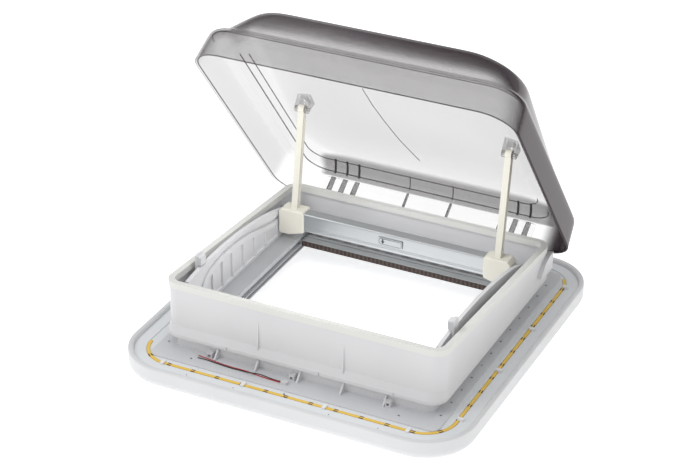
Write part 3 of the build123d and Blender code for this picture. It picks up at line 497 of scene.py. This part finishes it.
def make_dome(material):
    mesh = loft_mesh("dome_shell", [ring_points(*ring) for ring in DOME_RINGS])
    piece = add_object("dome_shell", mesh, "lid", material)
    smooth = piece.modifiers.new("smooth", "SUBSURF")
    smooth.levels = smooth.render_levels = 1
    shell = piece.modifiers.new("wall", "SOLIDIFY")
    shell.thickness = DOME_SKIN
    shell.offset = -1
    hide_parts("dome_outer")


def make_line(name, points, radius, material, body="lid", closed=False):
    """A thin round bead through the points."""
    data = bpy.data.curves.new(name, "CURVE")
    data.dimensions = "3D"
    data.bevel_depth = radius
    data.bevel_resolution = 1
    data.use_fill_caps = True
    spline = data.splines.new("POLY")
    spline.points.add(len(points) - 1)
    for point, place in zip(spline.points, points):
        point.co = (*place, 1)
    spline.use_cyclic_u = closed
    data.materials.append(material)
    piece = bpy.data.objects.new(name, data)
    bpy.context.scene.collection.objects.link(piece)
    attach(piece, body)


def make_bead(name, ring, cut, drop, radius, span, material):
    """A thin dark bead inside the dome's wall, where an edge gathers the tint, over part or all of a ring."""
    points = ring_points(*ring, cut=cut, drop=drop)
    first, count = span
    run = [points[(first + i) % len(points)] for i in range(count)]
    make_line(name, run, radius, material, closed=count == len(points))


# each bead: ring, distance in from it, distance below it, radius, and its span: first point and how many.
# A ring runs from the right end of the front corner round by the left and the hinge side.
SIDE = CORNER_STEPS + EDGE_STEPS
ALL_ROUND = (0, 4 * SIDE)
RIGHT_TO_FRONT = (3 * SIDE + 6, 2 * SIDE + 5)
LEFT_TO_REAR = (2 * SIDE - 8, 2 * SIDE + 1)
DOME_BEADS = {
    "rim_bead": (DOME_RINGS[1], 0.0014, -0.0002, 0.0008, ALL_ROUND),
    "ridge_bead": (DOME_RINGS[4], 0.0018, 0.0004, 0.0007, RIGHT_TO_FRONT),
    "frame_bead": ((0.2070, 0.0060, 0.4080, 0.034, 0.0375, 0.0375), 0, 0, 0.0009, LEFT_TO_REAR),
    "pane_bead": ((0.1950, 0.0420, 0.4000, 0.030, 0.0420, 0.0420), 0, 0, 0.0008, LEFT_TO_REAR),
}
# a rib's way down the inside of the wall, as (s, h)
RIB_CURVE = [(0.0140, 0.0545), (0.0085, 0.0520), (0.0025, 0.0475), (-0.0020, 0.0430), (-0.0035, 0.0385)]
# a faint dark line on the pane's inside, as (x, s, h)
PANE_LINE = [
    (-0.0630, 0.2470, 0.0815), (-0.0570, 0.2060, 0.0775), (-0.0440, 0.1660, 0.0710),
    (-0.0290, 0.1220, 0.0655), (-0.0070, 0.0716, 0.0605),
]
PANE_LINE_R = 0.0005


def make_ribs(material):
    """Ribs of the hinge strip, up the inside of the dome's wall, and the pane's line."""
    for side, side_name in ((-1, "left"), (1, "right")):
        for index, x in enumerate(HOOK_X + (MID_RIB_X,)):
            radius = MID_RIB_R if x == MID_RIB_X else HOOK_RIB_R
            points = [lid_point(side * x, s, h) for s, h in RIB_CURVE]
            make_line(f"strip_rib_{side_name}_{index}", points, radius, material)
    make_line("pane_line", [lid_point(*place) for place in PANE_LINE], PANE_LINE_R, material)


# ---------------------------------------------------------------- button arrow and outline
# the arrow points down: (x, z) from its middle
ARROW = [
    (-0.0011, 0.0040), (0.0011, 0.0040), (0.0011, 0.0004), (0.0030, 0.0004),
    (0, -0.0042), (-0.0030, 0.0004), (-0.0011, 0.0004),
]
ARROW_INSET, ARROW_PROUD, ARROW_THICK = 0.0075, 0.0001, 0.0003
OUTLINE_INSET, OUTLINE_CORNER, OUTLINE_R, OUTLINE_STEPS = 0.0013, 0.0030, 0.0003, 6


def make_arrow(black):
    """A plain arrow, standing just proud of the button's face."""
    low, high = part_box("bar_button")
    x, z, y = low[0] + ARROW_INSET, (low[2] + high[2]) / 2, low[1] - ARROW_PROUD
    build = bmesh.new()
    front = [build.verts.new((x + u, y, z + v)) for u, v in ARROW]
    back = [build.verts.new((x + u, y + ARROW_THICK, z + v)) for u, v in ARROW]
    build.faces.new(list(reversed(front)))
    build.faces.new(back)
    for i in range(len(ARROW)):
        j = (i + 1) % len(ARROW)
        build.faces.new((front[i], front[j], back[j], back[i]))
    bmesh.ops.recalc_face_normals(build, faces=build.faces[:])
    mesh = bpy.data.meshes.new("button_arrow")
    build.to_mesh(mesh)
    build.free()
    piece = add_object("button_arrow", mesh, "button", black, smooth=False)


def make_button_outline(black):
    """A fine rounded line round the button's face."""
    low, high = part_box("bar_button")
    corner = OUTLINE_CORNER
    centre_x, centre_z = (low[0] + high[0]) / 2, (low[2] + high[2]) / 2
    half_x = (high[0] - low[0]) / 2 - OUTLINE_INSET - corner
    half_z = (high[2] - low[2]) / 2 - OUTLINE_INSET - corner
    points = []
    for quarter, (sx, sz) in enumerate(((1, 1), (-1, 1), (-1, -1), (1, -1))):
        for i in range(OUTLINE_STEPS + 1):
            a = math.radians(90 * (quarter + i / OUTLINE_STEPS))
            x = centre_x + sx * half_x + corner * math.cos(a)
            z = centre_z + sz * half_z + corner * math.sin(a)
            points.append((x, low[1], z))
    make_line("button_outline", points, OUTLINE_R, black, "button", closed=True)


# ---------------------------------------------------------------- stage and light
def make_stage():
    material, tree, shader = new_material("floor_white")
    shader.inputs["Base Color"].default_value = (0.93, 0.93, 0.93, 1)
    shader.inputs["Roughness"].default_value = 0.9
    shader.inputs["Specular IOR Level"].default_value = 0.1
    shader.inputs["Emission Color"].default_value = (1, 1, 1, 1)
    shader.inputs["Emission Strength"].default_value = FLOOR_GLOW
    build = bmesh.new()
    bmesh.ops.create_grid(build, x_segments=1, y_segments=1, size=FLOOR_HALF)
    mesh = bpy.data.meshes.new("floor")
    build.to_mesh(mesh)
    build.free()
    floor = bpy.data.objects.new("floor", mesh)
    floor.location.z = FLOOR_Z
    mesh.materials.append(material)
    bpy.context.scene.collection.objects.link(floor)


def add_area(name, place, target, size, power):
    data = bpy.data.lights.new(name, "AREA")
    data.size, data.energy = size, power
    light = bpy.data.objects.new(name, data)
    light.location = place
    light.rotation_euler = (Vector(target) - Vector(place)).to_track_quat("-Z", "Y").to_euler()
    bpy.context.scene.collection.objects.link(light)
    return light


def make_light():
    """World, two soft lights and a small inner one, and the settings that the glass needs."""
    bpy.context.scene.view_settings.view_transform = "Standard"
    bpy.context.scene.cycles.transparent_max_bounces = GLASS_BOUNCES
    world = bpy.data.worlds.new("studio")
    bpy.context.scene.world = world
    world.use_nodes = True
    background = world.node_tree.nodes["Background"]
    background.inputs["Color"].default_value = (1, 1, 1, 1)
    background.inputs["Strength"].default_value = WORLD_STRENGTH
    add_area("key", (-1.9, -2.2, 2.6), (0, 0, 0.1), 1.6, KEY_POWER)
    add_area("top", (-0.3, 0.4, 3.2), (0, 0, 0.1), 2.2, TOP_POWER)
    inner = add_area("inner", (0, -0.08, 0.36), (0, 0.2, 0.09), 0.25, INNER_POWER)
    inner.visible_camera = inner.visible_glossy = False


# ---------------------------------------------------------------- dressing
FINISH = {
    "white": ["ceiling_frame", "screw_caps", "catch_lug_left", "catch_lug_right"],
    "tray": ["light_panel"],
    "wall": ["collar", "drip_base", "guide_panel_left", "guide_panel_right", "wire_grommet"],
    "flange": ["flange_neck"],
    "gasket": ["rim_gasket"],
    "cream": ["bow_arm_left", "bow_arm_right"],
    "grey": [
        "cassette_rail_left", "cassette_rail_right", "cassette_cover_front", "cassette_cover_rear",
        "flyscreen_bar",
    ],
    "clip": ["led_clips"],
    "silver": ["operating_bar", "blackout_bar", "bar_button"],
    "steel": [
        "clamp_screws", "hinge_pin_left", "hinge_pin_right", "bracket_pin_left", "bracket_pin_right",
        "button_spring", "lock_bolt_left", "lock_bolt_right",
    ],
    "led": ["led_strip_left", "led_strip_right"],
    "brush": ["blackout_brush"],
    "pleat": ["blackout_pleats"],
    "mesh": ["flyscreen_pleats"],
    "pane": ["dome_inner"],
    "faint": ["seal_frame"],
    "clear": ["lid_bracket_left", "lid_bracket_right"],
    "smoke": ["hinge_hooks"],
}


def main():
    make_camera()
    materials = make_materials()
    for material, nodes in FINISH.items():
        for node in nodes:
            paint(node, materials[material])
    paint_hooks(materials["strip"])
    make_wire("wire_red_lead", WIRE_RED, materials["red"])
    make_wire("wire_black_lead", WIRE_BLACK, materials["dark"])
    make_pads(materials["solder"])
    make_hole_shades(materials["shade"])
    make_dome(materials["dome"])
    for name, (ring, cut, drop, radius, span) in DOME_BEADS.items():
        make_bead(name, ring, cut, drop, radius, span, materials["edge"])
    make_ribs(materials["smoke"])
    make_arrow(materials["black"])
    make_button_outline(materials["black"])
    make_stage()
    make_light()


main()
